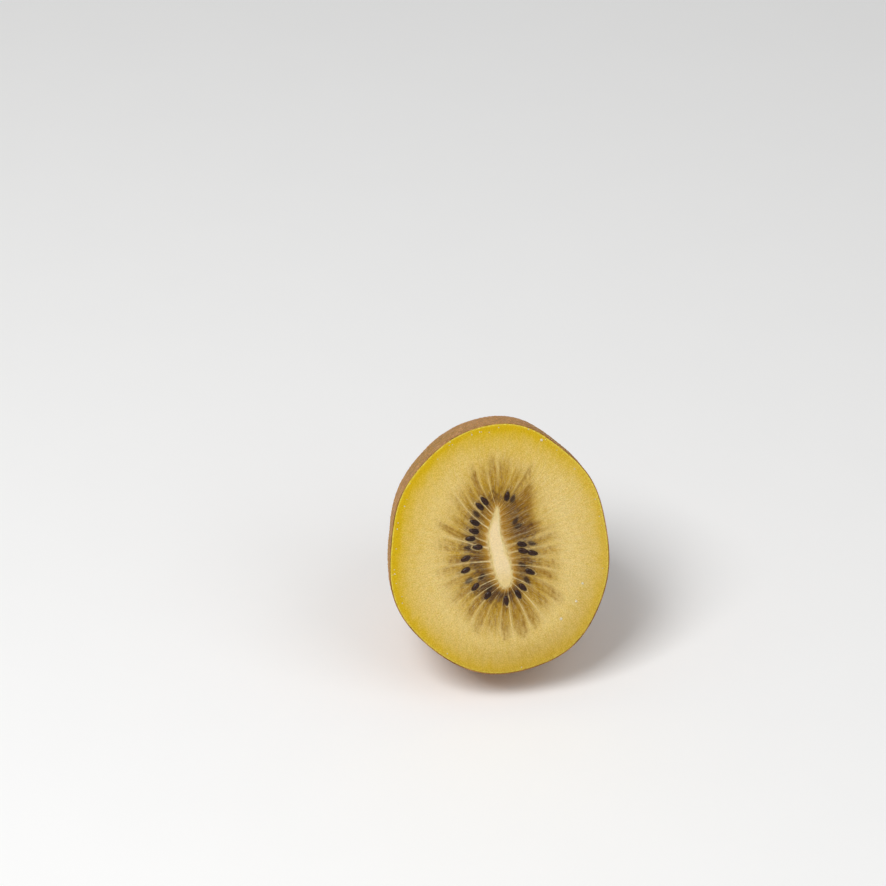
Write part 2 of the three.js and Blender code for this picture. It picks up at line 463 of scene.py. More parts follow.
def seed_places():
    """Place, tilt and kind of every seed: two rows, each a share of an ellipse with swells."""
    seeds = []
    for row in (OUTER_ROW, INNER_ROW):
        for index, kind in enumerate(row["seeds"]):
            if kind == ".":
                continue
            turn = index / LOCULES
            heading = turn * 2 * math.pi
            reach = row["share"] + SEED_SCATTER["along"] * scatter(index, 1)
            for by, at, spread in row["swells"]:
                reach += by * bell(turn * 360 - at, spread)
            side = SEED_RING["side"] + SEED_RING["half_width"] * reach * math.cos(heading)
            up = SEED_RING["up"] + SEED_RING["half_height"] * reach * math.sin(heading)
            seeds.append((side, up, heading + SEED_SCATTER["turn"] * scatter(index, 2), kind))
    return seeds


# Meshes

def closed_surface(name, rows, first, last, masks, material):
    """A closed mesh of rows of points round an axis, from one pole point to another.

    The rows wrap round. Quads join one row to the next, and fans of triangles close both ends. Its UV
    map runs once round and once along, and each mask becomes an attribute with one value a vertex.
    """
    count, columns = rows.shape[:2]
    points = np.concatenate([first[None], rows.reshape(-1, 3), last[None]])
    column = np.arange(columns)
    following = (column + 1) % columns
    start = 1 + np.arange(count - 1)[:, None] * columns
    quads = np.stack([
        start + column, start + columns + column, start + columns + following, start + following
    ], axis=-1).reshape(-1, 4)
    tail = 1 + (count - 1) * columns
    front = np.stack([np.zeros(columns, int), 1 + column, 1 + following], axis=-1)
    back = np.stack([tail + column, np.full(columns, len(points) - 1), tail + following], axis=-1)

    around = column / columns
    beside = (column + 1) / columns
    middle = (around + beside) / 2
    along = np.linspace(0, 1, count + 2)
    row_v = along[1:-2, None] + 0 * around
    next_v = along[2:-1, None] + 0 * around
    quad_uv = np.stack([
        np.stack([around + 0 * row_v, row_v], -1), np.stack([around + 0 * row_v, next_v], -1),
        np.stack([beside + 0 * row_v, next_v], -1), np.stack([beside + 0 * row_v, row_v], -1),
    ], axis=-2).reshape(-1, 2)
    ones = np.ones(columns)
    front_uv = np.stack([
        np.stack([middle, 0 * ones], -1), np.stack([around, along[1] * ones], -1),
        np.stack([beside, along[1] * ones], -1),
    ], axis=-2).reshape(-1, 2)
    back_uv = np.stack([
        np.stack([around, along[-2] * ones], -1), np.stack([middle, ones], -1),
        np.stack([beside, along[-2] * ones], -1),
    ], axis=-2).reshape(-1, 2)

    loops = np.concatenate([front.ravel(), quads.ravel(), back.ravel()])
    sizes = np.concatenate([np.full(columns, 3), np.full(len(quads), 4), np.full(columns, 3)])
    mesh = bpy.data.meshes.new(name)
    mesh.vertices.add(len(points))
    mesh.vertices.foreach_set("co", points.astype(np.float32).ravel())
    mesh.loops.add(len(loops))
    mesh.loops.foreach_set("vertex_index", loops.astype(np.int32))
    mesh.polygons.add(len(sizes))
    mesh.polygons.foreach_set("loop_start", (np.cumsum(sizes) - sizes).astype(np.int32))
    mesh.polygons.foreach_set("use_smooth", np.ones(len(sizes), bool))
    mesh.update(calc_edges=True)
    uv = mesh.uv_layers.new(name="round_and_along")
    uv.data.foreach_set("uv", np.concatenate([front_uv, quad_uv, back_uv]).astype(np.float32).ravel())
    for mask, values in masks.items():
        flat = values.reshape(count, -1)
        flat = np.concatenate([[flat[0].mean()], flat.ravel(), [flat[-1].mean()]])
        layer = mesh.attributes.new(mask, "FLOAT", "POINT")
        layer.data.foreach_set("value", flat.astype(np.float32))
    mesh.validate()
    mesh.materials.append(material)
    return mesh


def add_piece(name, mesh, slot, *nodes):
    """A piece in the scene that rides on the body and stands for nodes, whose parts from the solids it
    hides. The slot is not used.
    """
    piece = bpy.data.objects.new(name, mesh)
    bpy.context.scene.collection.objects.link(piece)
    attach(piece, "root")
    if nodes:
        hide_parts(*nodes)
    return piece


def joined_mesh(name, meshes):
    """One mesh of several that share a material."""
    objects = [bpy.data.objects.new(name, mesh) for mesh in meshes]
    for item in objects:
        bpy.context.scene.collection.objects.link(item)
    with bpy.context.temp_override(active_object=objects[0], selected_editable_objects=objects):
        bpy.ops.object.join()
    mesh = objects[0].data
    bpy.data.objects.remove(objects[0])
    mesh.name = name
    return mesh


# Materials

def new_material(name):
    """A material with only its output and a principled shader, and its node tree."""
    material = bpy.data.materials.new(name)
    material.use_nodes = True
    tree = material.node_tree
    shader = tree.nodes["Principled BSDF"]
    return material, tree, shader


def fed(tree, socket, value):
    """Gives a socket a value, or joins another socket to it."""
    if isinstance(value, bpy.types.NodeSocket):
        tree.links.new(value, socket)
    elif isinstance(value, tuple):
        socket.default_value = (*value[:3], 1.0) if len(socket.default_value) == 4 else value
    else:
        socket.default_value = value


def sums(tree, operation, first, second=0.0, third=0.0, clamp=False):
    """A math node's result."""
    node = tree.nodes.new("ShaderNodeMath")
    node.operation = operation
    node.use_clamp = clamp
    for index, value in enumerate((first, second, third)):
        fed(tree, node.inputs[index], value)
    return node.outputs[0]


def blended(tree, mask, below, above, kind="MIX"):
    """The colour below, covered by the colour above where the mask says."""
    node = tree.nodes.new("ShaderNodeMix")
    node.data_type = "RGBA"
    node.blend_type = kind
    fed(tree, node.inputs[0], mask)
    fed(tree, node.inputs[6], below)
    fed(tree, node.inputs[7], above)
    return node.outputs[2]


def stepped(tree, value, start, end, low=0.0, high=1.0):
    """A smooth step of a value from one range to another."""
    node = tree.nodes.new("ShaderNodeMapRange")
    node.interpolation_type = "SMOOTHSTEP"
    for index, number in enumerate((value, start, end, low, high)):
        fed(tree, node.inputs[index], number)
    return node.outputs[0]


def mask_of(tree, name):
    """A mesh attribute's value."""
    node = tree.nodes.new("ShaderNodeAttribute")
    node.attribute_name = name
    return node.outputs["Fac"]


def object_place(tree):
    """The point's place in the piece's own coordinates."""
    return tree.nodes.new("ShaderNodeTexCoord").outputs["Object"]


def noise(tree, place, size, detail=2.0, roughness=0.5):
    """Soft noise with clouds of about the given size, or with a socket's number of clouds a metre."""
    node = tree.nodes.new("ShaderNodeTexNoise")
    fed(tree, node.inputs["Vector"], place)
    fed(tree, node.inputs["Scale"], size if isinstance(size, bpy.types.NodeSocket) else 1 / size)
    fed(tree, node.inputs["Detail"], detail)
    fed(tree, node.inputs["Roughness"], roughness)
    return node.outputs["Fac"]


def new_group(name, inputs, outputs):
    """A shader node group with named float inputs, given with their defaults, and named outputs."""
    tree = bpy.data.node_groups.new(name, "ShaderNodeTree")
    for label, default in inputs:
        socket = tree.interface.new_socket(name=label, in_out="INPUT", socket_type="NodeSocketFloat")
        socket.default_value = default
    for label in outputs:
        tree.interface.new_socket(name=label, in_out="OUTPUT", socket_type="NodeSocketFloat")
    return tree, tree.nodes.new("NodeGroupInput").outputs, tree.nodes.new("NodeGroupOutput").inputs


def grain_group():
    """Fine wet grain: small cells and larger clouds as masks, and the height of both together."""
    found = bpy.data.node_groups.get("fruit_grain")
    if found:
        return found
    inputs = (("Cells per metre", 3600.0), ("Clouds per metre", 450.0))
    tree, given, result = new_group("fruit_grain", inputs, ("Cells", "Clouds", "Height"))
    place = object_place(tree)
    cells = noise(tree, place, given["Cells per metre"], 3.0)
    clouds = noise(tree, place, given["Clouds per metre"], 3.0)
    fed(tree, result["Cells"], stepped(tree, cells, 0.3, 0.7))
    fed(tree, result["Clouds"], stepped(tree, clouds, 0.3, 0.7))
    fed(tree, result["Height"], sums(tree, "MULTIPLY_ADD", clouds, 0.6, cells))
    return tree


def grain(tree, cells, clouds):
    """The fine grain group with its own sizes of cells and clouds."""
    node = tree.nodes.new("ShaderNodeGroup")
    node.node_tree = grain_group()
    node.inputs["Cells per metre"].default_value = 1 / cells
    node.inputs["Clouds per metre"].default_value = 1 / clouds
    return node.outputs


def streaks(tree, around, along):
    """Noise drawn out from the core to the rim, from the face's own turn and reach."""
    place = tree.nodes.new("ShaderNodeCombineXYZ")
    fed(tree, place.inputs[0], sums(tree, "MULTIPLY", mask_of(tree, "turn_side"), around))
    fed(tree, place.inputs[1], sums(tree, "MULTIPLY", mask_of(tree, "turn_up"), around))
    fed(tree, place.inputs[2], sums(tree, "MULTIPLY", mask_of(tree, "reach"), along))
    return stepped(tree, noise(tree, place.outputs[0], 1.0, 3.0, 0.6), 0.3, 0.7)


def speckled(tree, tone, cells, depth):
    """A colour made a little lighter and darker by fine cells."""
    level = sums(tree, "MULTIPLY_ADD", cells, depth, 1 - depth / 2)
    grey = tree.nodes.new("ShaderNodeCombineColor")
    for index in range(3):
        fed(tree, grey.inputs[index], level)
    return blended(tree, 1.0, tone, grey.outputs[0], "MULTIPLY")


def bump(tree, shader, height, distance):
    """A bump of the given distance into the shader's normal."""
    node = tree.nodes.new("ShaderNodeBump")
    node.inputs["Distance"].default_value = distance
    node.inputs["Strength"].default_value = 1.0
    fed(tree, node.inputs["Height"], height)
    fed(tree, shader.inputs["Normal"], node.outputs["Normal"])


def flesh_material():
    """Wet golden flesh: its masks lay rim, a painted highlight line beside the skin, locules with some
    painted shade near the lower right rim, shade, veiled seeds and rays over mottled gold.
    """
    look = bpy.context.scene.kiwi_flesh
    material, tree, shader = new_material("golden_flesh")
    fine = grain(tree, 0.2 * MM, 1.7 * MM)
    streak = streaks(tree, 30.0, 7.0)
    fibre = streaks(tree, 75.0, 9.0)
    ripe = sums(tree, "MULTIPLY_ADD", fine["Clouds"], 0.25, mask_of(tree, "ripe"))
    ripe = sums(tree, "MULTIPLY_ADD", streak, 0.3, ripe)
    ripe = sums(tree, "MULTIPLY_ADD", fine["Cells"], -0.5, ripe)
    tone = blended(tree, sums(tree, "ADD", ripe, 0.02, clamp=True), tuple(look.pale), tuple(look.gold))
    rim = sums(tree, "MULTIPLY", mask_of(tree, "rim"), 1.16)
    rim = sums(tree, "MULTIPLY_ADD", fine["Cells"], -0.16, rim)
    tone = blended(tree, sums(tree, "MAXIMUM", rim, 0.0, clamp=True), tone, tuple(look.rim))
    # Painted highlight: the thin pale line along the rim beside the skin
    tone = blended(tree, mask_of(tree, "painted_rim_highlight"), tone, tuple(look.painted_rim_highlight))
    blotch = sums(tree, "MULTIPLY_ADD", streak, 0.3, 0.62)
    blotch = sums(tree, "MULTIPLY_ADD", fibre, 0.34, blotch)
    # The finger mask also holds painted shade near the rim at the lower right
    layers = (("olive", look.olive), ("finger", look.finger), ("glow", look.glow), ("haze", look.haze))
    for mask, shade in layers:
        strength = sums(tree, "MULTIPLY", mask_of(tree, mask), blotch, clamp=True)
        tone = blended(tree, strength, tone, tuple(shade))
    tone = blended(tree, mask_of(tree, "veil"), tone, tuple(look.veil))
    tone = blended(tree, mask_of(tree, "ray"), tone, tuple(look.ray))
    threads = sums(tree, "MULTIPLY", stepped(tree, fibre, 0.6, 0.95), mask_of(tree, "olive"))
    bare = sums(tree, "MULTIPLY_ADD", mask_of(tree, "veil"), -0.22, 0.22)
    tone = blended(tree, sums(tree, "MULTIPLY", threads, bare), tone, tuple(look.ray))
    spots = stepped(tree, noise(tree, object_place(tree), 0.28 * MM, 2.0, 0.7), 0.54, 0.64)
    spots = sums(tree, "MULTIPLY", spots, mask_of(tree, "speckle"))
    tone = blended(tree, sums(tree, "MULTIPLY", spots, 0.55), tone, tuple(look.ray))
    tone = blended(tree, mask_of(tree, "cream"), tone, tuple(look.core_edge))
    tone = speckled(tree, tone, fine["Cells"], 0.24)
    fed(tree, shader.inputs["Base Color"], tone)
    wet = sums(tree, "MULTIPLY_ADD", mask_of(tree, "olive"), -0.1, 0.48)
    fed(tree, shader.inputs["Roughness"], sums(tree, "MULTIPLY_ADD", fine["Cells"], 0.1, wet))
    shader.inputs["IOR"].default_value = 1.38
    shader.inputs["Specular IOR Level"].default_value = 0.32
    shader.inputs["Subsurface Weight"].default_value = 0.2
    shader.inputs["Subsurface Radius"].default_value = (1.0, 0.6, 0.25)
    shader.inputs["Subsurface Scale"].default_value = 0.4 * MM
    height = sums(tree, "MULTIPLY_ADD", streak, 0.8, fine["Height"])
    bump(tree, shader, sums(tree, "ADD", height, spots), 0.06 * MM)
    return material


def core_material():
    """Pale moist core: cream with faint clouds, golden where its edge is notched by the locules."""
    look = bpy.context.scene.kiwi_flesh
    material, tree, shader = new_material("pale_core")
    fine = grain(tree, 0.3 * MM, 1.6 * MM)
    edge = sums(tree, "MULTIPLY_ADD", fine["Clouds"], 0.3, mask_of(tree, "edge"))
    edge = sums(tree, "SUBTRACT", edge, 0.12, clamp=True)
    tone = blended(tree, edge, tuple(look.core), tuple(look.core_edge))
    tone = blended(tree, mask_of(tree, "notch"), tone, tuple(look.olive))
    tone = speckled(tree, tone, fine["Cells"], 0.14)
    fed(tree, shader.inputs["Base Color"], tone)
    fed(tree, shader.inputs["Roughness"], sums(tree, "MULTIPLY_ADD", fine["Cells"], 0.12, 0.46))
    shader.inputs["IOR"].default_value = 1.38
    shader.inputs["Subsurface Weight"].default_value = 0.3
    shader.inputs["Subsurface Radius"].default_value = (1.0, 0.7, 0.4)
    shader.inputs["Subsurface Scale"].default_value = 0.8 * MM
    bump(tree, shader, fine["Height"], 0.03 * MM)
    return material


def skin_material():
    """Dry thin skin: tan with golden and brown clouds, under two sizes of raised orange dots.

    The larger dots are in the mesh. The fine ones are the middles of scattered cells, whose borders
    are darker. The skin turns rusty round the stem scar.
    """
    look = bpy.context.scene.kiwi_skin
    material, tree, shader = new_material("fuzzy_skin")
    place = object_place(tree)
    fine = grain(tree, 0.2 * MM, 4 * MM)
    golden = stepped(tree, noise(tree, place, 22 * MM, 3.0), 0.44, 0.64, 0.0, 0.85)
    tone = blended(tree, golden, tuple(look.tan), tuple(look.gold))
    dark = sums(tree, "MULTIPLY_ADD", noise(tree, place, 9 * MM, 4.0, 0.6), 1.0, mask_of(tree, "dusk"))
    tone = blended(tree, stepped(tree, dark, 0.5, 1.05, 0.0, 0.9), tone, tuple(look.brown))
    bruise = stepped(tree, noise(tree, place, 7 * MM, 5.0, 0.7), 0.62, 0.72, 0.0, 0.6)
    tone = blended(tree, bruise, tone, tuple(look.brown))
    cells = tree.nodes.new("ShaderNodeTexVoronoi")
    fed(tree, cells.inputs["Vector"], place)
    fed(tree, cells.inputs["Scale"], 1 / look.fine_cell)
    rusty = stepped(tree, sums(tree, "ADD", mask_of(tree, "rust"), golden), 0.35, 1.1, 0.0, 0.85)
    tone = blended(tree, sums(tree, "MULTIPLY", rusty, mask_of(tree, "rust")), tone, tuple(look.rust))
    flakes = noise(tree, place, 1.2 * MM, 4.0, 0.65)
    scales = stepped(tree, flakes, 0.52, 0.4)
    tone = blended(tree, sums(tree, "MULTIPLY", scales, 0.3), tone, tuple(look.pit))
    tone = blended(tree, stepped(tree, flakes, 0.5, 0.62, 0.0, 0.35), tone, tuple(look.flake))
    fine_dots = stepped(tree, cells.outputs["Distance"], 0.4, 0.16)
    dots = stepped(tree, mask_of(tree, "dot"), 0.04 * MM, -0.1 * MM)
    ground = sums(tree, "MULTIPLY_ADD", sums(tree, "MAXIMUM", fine_dots, dots), -0.42, 0.42)
    tone = blended(tree, ground, tone, tuple(look.pit))
    tone = blended(tree, sums(tree, "MULTIPLY", fine_dots, 0.5), tone, tuple(look.dot))
    tone = blended(tree, sums(tree, "MULTIPLY", dots, 0.95), tone, tuple(look.dot))
    worn = sums(tree, "MULTIPLY", mask_of(tree, "cut"), fine["Clouds"])
    tone = blended(tree, worn, tone, tuple(look.edge))
    tone = speckled(tree, tone, fine["Cells"], 0.45)
    fed(tree, shader.inputs["Base Color"], tone)
    fed(tree, shader.inputs["Roughness"], sums(tree, "MULTIPLY_ADD", fine["Cells"], 0.2, 0.46))
    shader.inputs["Specular IOR Level"].default_value = 0.1
    shader.inputs["Sheen Weight"].default_value = 0.1
    shader.inputs["Sheen Roughness"].default_value = 0.45
    shader.inputs["Sheen Tint"].default_value = (1.0, 0.72, 0.5, 1.0)
    height = sums(tree, "MULTIPLY_ADD", fine_dots, 1.3, fine["Cells"])
    height = sums(tree, "MULTIPLY_ADD", scales, -0.8, height)
    bump(tree, shader, height, 0.18 * MM)
    return material


def scar_material():
    """Woody stem scar: a dark fibrous plug with a pale ring round it."""
    look = bpy.context.scene.kiwi_skin
    material, tree, shader = new_material("woody_scar")
    place = object_place(tree)
    fine = grain(tree, 0.2 * MM, 1.2 * MM)
    tone = blended(tree, mask_of(tree, "rind"), tuple(look.wood), tuple(look.rind))
    tone = blended(tree, mask_of(tree, "apron"), tone, tuple(look.rust))
    streak = stepped(tree, noise(tree, place, 0.5 * MM, 4.0, 0.7), 0.4, 0.7, 0.0, 0.6)
    tone = blended(tree, streak, tone, tuple(look.wood))
    fed(tree, shader.inputs["Base Color"], tone)
    fed(tree, shader.inputs["Roughness"], sums(tree, "MULTIPLY_ADD", fine["Cells"], 0.2, 0.7))
    bump(tree, shader, fine["Height"], 0.12 * MM)
    return material


def seed_material():
    """Glossy dark seeds: near black, browner where a film of flesh is left, with a pitted coat."""
    look = bpy.context.scene.kiwi_seeds
    material, tree, shader = new_material("wet_seed")
    fine = grain(tree, 0.3 * MM, 1.3 * MM)
    worn = sums(tree, "MULTIPLY", fine["Clouds"], fine["Cells"])
    tone = blended(tree, sums(tree, "MULTIPLY", worn, 0.8), tuple(look.dark), tuple(look.light))
    fed(tree, shader.inputs["Base Color"], tone)
    fed(tree, shader.inputs["Roughness"], sums(tree, "MULTIPLY_ADD", fine["Cells"], 0.2, 0.24))
    shader.inputs["Specular IOR Level"].default_value = 0.22
    shader.inputs["Coat Weight"].default_value = 0.12
    shader.inputs["Coat Roughness"].default_value = 0.1
    bump(tree, shader, fine["Height"], 0.06 * MM)
    return material


def juice_material():
    """Clear juice, a little yellower in soft clouds. Its near-white colour is partly the juice's own pale
    tint and partly painted highlight, so the drops show as bright glints.
    """
    material, tree, shader = new_material("clear_juice")
    thick = noise(tree, object_place(tree), 0.3 * MM, 1.0)
    # Partly painted highlight: the near-white colour makes the drops show as bright glints
    fed(tree, shader.inputs["Base Color"], blended(tree, thick, (1.0, 0.96, 0.78), (1.0, 0.92, 0.6)))
    shader.inputs["Roughness"].default_value = 0.06
    shader.inputs["Transmission Weight"].default_value = 0.45
    shader.inputs["IOR"].default_value = 1.34
    shader.inputs["Coat Weight"].default_value = 1.0
    return material


def floor_material():
    """A plain pale floor with the faintest grain."""
    look = bpy.context.scene.kiwi_stage
    material, tree, shader = new_material("pale_floor")
    shade = tuple(0.985 * x for x in look.floor)
    tone = blended(tree, noise(tree, object_place(tree), 0.02, 2.0), tuple(look.floor), shade)
    fed(tree, shader.inputs["Base Color"], tone)
    shader.inputs["Roughness"].default_value = 0.7
    return material


# The cut face

def face_place(angle, reach):
    """Places on the cut face: each ray is a parabola from the core's edge through the ring to the rim.

    Reach runs from zero at the core to one at the rim. The parabola passes the ring of the seeds at the
    share of the way that the straight distances give.
    """
    thickness = bpy.context.scene.kiwi_skin.thickness
    at_rim, at_core = leant(angle)
    core = np.stack(core_outline(at_core), -1)
    ring = ring_place(angle)
    rim = np.stack(outline(at_rim, thickness), -1)
    middle = np.linalg.norm(ring - core, axis=-1) / np.linalg.norm(rim - core, axis=-1)
    middle = middle[None, :, None]
    x = reach[:, None, None]
    core_part = (x - middle) * (x - 1) / middle
    ring_part = x * (x - 1) / (middle * (middle - 1))
    rim_part = x * (x - middle) / (1 - middle)
    return core * core_part + ring * ring_part + rim * rim_part


def seed_distance(places, seed):
    """Distances along and across a seed, counted in its half length and half width."""
    look = bpy.context.scene.kiwi_seeds
    side, up, tilt, _ = seed
    apart = places - np.array([side, up])
    along = apart[..., 0] * math.cos(tilt) + apart[..., 1] * math.sin(tilt)
    across = apart[..., 1] * math.cos(tilt) - apart[..., 0] * math.sin(tilt)
    along = along / (look.seed_length / 2)
    taper = 1 - look.taper * np.clip(along, -1, 1)
    return along, across / (taper * look.seed_width / 2)


def measured_face(angle, place, places):
    """Distances and shares over the cut face, from which all its masks are worked out.

    Out counts from the core, inwards from the rim, and past_ring from the ring of the seeds, with a
    border of its own for each locule. Beside runs across a locule from -0.5 to 0.5, and from_ray is the
    distance to the nearest ray. Wander makes borders wander, and reach is how far each locule goes.
    """
    look = bpy.context.scene.kiwi_flesh
    turn = np.degrees(angle)
    foot = toward(turn, *FOOT)
    own = np.mod(np.round(place), LOCULES)
    beside = place - np.round(place)
    out = np.linalg.norm(places - places[:1], axis=-1)
    ring_out = np.linalg.norm(ring_place(angle) - places[0], axis=-1)
    wander = 0.5 * MM * cloud(places, 1.6 * MM, 71) + 0.3 * MM * cloud(places, 0.7 * MM, 73)
    ring_border = 0.9 * MM * foot + 1.4 * MM * scatter(own, 25) - 1.6 * MM * np.abs(beside) + 1.4 * wander
    from_ring = places - np.array([SEED_RING["side"], SEED_RING["up"]])
    spacing = np.linalg.norm(from_ring, axis=-1) * 2 * math.pi / LOCULES
    return SimpleNamespace(
        turn=turn,
        place=place,
        places=places,
        foot=foot,
        own=own,
        beside=beside,
        out=out,
        ring_out=ring_out,
        wander=wander,
        past_ring=out - ring_out - ring_border,
        inwards=np.linalg.norm(places - places[-1:], axis=-1),
        reach=look.locule_reach * (1 + 0.36 * scatter(own, 21) + 0.05 * foot),
        ray=np.mod(np.floor(place), LOCULES),
        from_ray=np.abs(place - np.floor(place) - 0.5) * spacing,
        patch=ramp(place, *PATCH_START) * ramp(place, *PATCH_END),
    )


def finger_and_shade_mask(face):
    """The locules: soft fingers that narrow outwards, hollow along their middle and dark at their tips.

    Each has a width, a shift and a strength of its own. In the patch they are one smooth brown with a
    wavy border, and near the rim of the lower right a faint painted shade is added in their colour.
    """
    look = bpy.context.scene.kiwi_flesh
    along = (face.out + face.wander) / face.reach
    narrowing = 0.16 * ramp(along, 0.4, 0.95)
    own_width = 0.14 * scatter(face.own, 23) + 0.06 * cloud(face.places, 2.1 * MM, 75)
    half = 0.4 - narrowing + own_width
    across = np.abs(face.beside - 0.25 * scatter(face.own, 27))
    hollow = 0.4 * bell(face.beside, 0.16) * ramp(along, 0.35, 0.6)
    strength = 0.62 + 0.55 * scatter(face.own, 22) + 0.28 * cloud(face.places, 1.2 * MM, 77)
    tip = 0.3 * bell(along - 0.86, 0.13)
    finger = ramp(across, half + 0.22, half - 0.2) * ramp(along, 1.12, 0.72)
    finger = finger * (1 - hollow) * strength * (1 + tip) * (1 - face.patch)

    waves = 0.9 + 0.07 * np.sin(1.3 * face.place + 1) + 0.03 * np.sin(7.1 * face.place + 1)
    border = look.locule_reach * waves
    smooth = 0.95 * face.patch * ramp(face.out + 0.7 * face.wander, border, 0.7 * border)
    smooth = smooth * (1 + 0.1 * cloud(face.places, 2 * MM, 78))
    # Painted shade: the flesh near the rim at the lower right is darkened in the locules' colour
    dusk = 0.27 * toward(face.turn, *PAINTED_SHADE_SIDE) * ramp(face.inwards + face.wander, 8 * MM, 3 * MM)
    return np.maximum(np.maximum(finger, smooth), dusk)


def haze_mask(face):
    """The shade inside the ring of the seeds, which fades towards the core and is deeper at the foot."""
    inner_fade = ramp(face.out, 0.1 * MM, 0.6 * face.ring_out + 0.3 * MM)
    own_depth = 0.3 * scatter(face.own, 24) + 0.2 * cloud(face.places, 0.9 * MM, 79)
    return ramp(face.past_ring, 2.8 * MM, -1.2 * MM) * inner_fade * (0.82 + 0.3 * face.foot + own_depth)


def ray_mask(face):
    """The pale rays: thin bells over wide faint ones, each with a strength, width and reach of its own."""
    look = bpy.context.scene.kiwi_flesh
    far = look.locule_reach * (0.8 + 0.6 * scatter(face.ray, 32))
    bright = np.clip(0.4 + 0.8 * scatter(face.ray, 31), 0.05, 0.78)
    bright = bright * (1 - 0.75 * face.patch) * (1 - 0.35 * toward(face.turn, *FAINT_RAYS))
    widening = 0.8 + 0.8 * ramp(face.out, 0.4 * far, 1.1 * far)
    thin = look.ray_width * widening * (1 + 0.5 * scatter(face.ray, 33))
    fade = (1 - ramp(face.out, 0.5 * far, 1.15 * far)) * (1 - 0.25 * ramp(face.out, 0.0, 4 * MM))
    fade = fade * (1 + 0.3 * cloud(face.places, 1.1 * MM, 82))
    sharp = np.clip(bright * bell(face.from_ray, thin) * fade, 0, 1)
    soft_stretch = ramp(face.out, 3 * MM, 6 * MM) * ramp(face.out, 1.15 * far, 0.8 * far)
    soft = 0.16 * bell(face.from_ray, 0.36 * MM) * soft_stretch * (1 - face.patch)
    return np.maximum(sharp, soft)


def tooth_mask(face):
    """The cream roots of the rays, which narrow outwards like teeth, and the core's own soft border."""
    look = bpy.context.scene.kiwi_flesh
    length_out = (0.9 + 0.6 * scatter(face.ray, 34)) * MM
    spread = look.ray_width + 0.4 * np.maximum(length_out - face.out, 0)
    strength = 0.6 + 0.3 * toward(face.turn, *STRONG_TEETH)
    teeth = strength * bell(face.from_ray, spread) * ramp(face.out, 1.2 * length_out, 0.0)
    return np.maximum(teeth, ramp(face.out + 0.4 * face.wander, 0.35 * MM, -0.1 * MM))


def rim_masks(face, olive):
    """The bright rim, which falls off inwards as an exponential, and the broken line beside the skin,
    which is a painted highlight.
    """
    look = bpy.context.scene.kiwi_flesh
    lit = np.maximum(toward(face.turn, *SUNNY_SIDE), toward(face.turn, *CROWN))
    edge = face.inwards + 0.35 * MM * cloud(face.places, 3.1 * MM, 83)
    fall = look.rim_width * (1.5 + np.maximum(lit, face.foot))
    rim = (0.72 + 0.27 * lit) * np.exp(-np.maximum(edge - 0.5 * look.rim_width, 0) / fall)
    # Painted highlight: a broken pale line within 0.4 mm of the skin
    line = ramp(face.inwards, 0.4 * MM, 0.12 * MM) * (0.62 + 0.5 * cloud(face.places, 0.8 * MM, 85))
    return rim * (1 - olive), line


def marked_seeds(face, haze, speckle, veil, cream):
    """The masks with the marks of every seed, and the relief round the seeds.

    Shade lies round each seed, and specks off its outer end. A veiled seed is a blurred dark bell on a
    low mound. A bare one has a dark bed in a groove, and a pale outline on its outer side.
    """
    relief = np.zeros(haze.shape)
    for number, seed in enumerate(seed_places()):
        along, across = seed_distance(face.places, seed)
        apart = np.hypot(along, across)
        haze = np.maximum(haze, 0.85 * bell(np.hypot(along / 1.7, across / 1.45), 1.0))
        speckle = np.maximum(speckle, 0.5 * bell(np.hypot(along - 1.2, across), 0.8))
        if seed[3] == "v":
            veil = np.maximum(veil, 0.88 * ramp(apart, 1.25, 0.55))
            relief = relief + 0.1 * MM * bell(apart, 0.8)
        else:
            veil = np.maximum(veil, 0.7 * ramp(apart, 1.25, 0.95))
            relief = relief - 0.05 * MM * bell(apart - 1.25, 0.2)
            pale = (0.35 + 0.7 * scatter(number, 35)) * ramp(along + across, -1.0, 1.2)
            cream = np.maximum(cream, pale * bell(apart - 1.32, 0.12))
    return haze, speckle, veil, cream, relief


def face_masks(angle, place, places):
    """The masks of the cut face by name, and its relief.

    Besides the parts with functions of their own there are an olive zone round the core, a glow next to
    it, a veil over the foot's inner locules and specks towards the locules' tips. The relief sinks a
    little in the locules, rises on the rays, and is level at the core's edge and worn at the rim.
    """
    look = bpy.context.scene.kiwi_flesh
    face = measured_face(angle, place, places)
    olive = ramp(face.out - face.wander, 1.25 * look.locule_reach, 0.45 * look.locule_reach)
    # The locules, with the painted shade near the lower right rim
    finger = finger_and_shade_mask(face)
    ray = ray_mask(face)
    haze = haze_mask(face)
    glow = ramp(face.out, 3.6 * MM, 0.2 * MM) * (0.75 + 0.25 * cloud(places, 1.5 * MM, 81))
    veil = face.foot * ramp(face.past_ring, 1.0 * MM, -1.6 * MM) * ramp(face.out, 0.4 * MM, 1.6 * MM)
    veil = 0.42 * veil * (1 + 0.3 * scatter(face.own, 28)) * (1 - ray)
    specks = (1 + scatter(face.own, 26)) * ramp(face.out, 0.3 * face.reach, 0.7 * face.reach)
    speckle = 0.3 * olive * specks * (1 - face.patch) + 0.05 * haze
    haze, speckle, veil, cream, relief = marked_seeds(face, haze, speckle, veil, tooth_mask(face))
    rim, painted_rim_highlight = rim_masks(face, olive)

    dip = 0.06 * MM * finger * ramp(np.abs(face.beside), 0.5, 0.2) - 0.03 * MM * ray
    relief = (relief - dip) * ramp(face.out, 0.1 * MM, 0.7 * MM)
    relief = relief - 0.04 * MM * ramp(face.inwards, 0.35 * MM, 0.0)
    masks = {
        "ripe": 0.06 + 0.3 * toward(face.turn, *CROWN), "rim": rim, "painted_rim_highlight": painted_rim_highlight, "olive": olive,
        "finger": finger, "glow": glow, "haze": haze * (1 - 0.6 * ray), "veil": veil,
        "speckle": speckle, "ray": ray, "cream": cream,
    }
    masks = {name: np.clip(mask, 0, 1) for name, mask in masks.items()}
    masks["turn_side"] = np.cos(angle)
    masks["turn_up"] = np.sin(angle)
    masks["reach"] = np.linspace(0, 1, FACE_ROWS)[:, None]
    return masks, relief


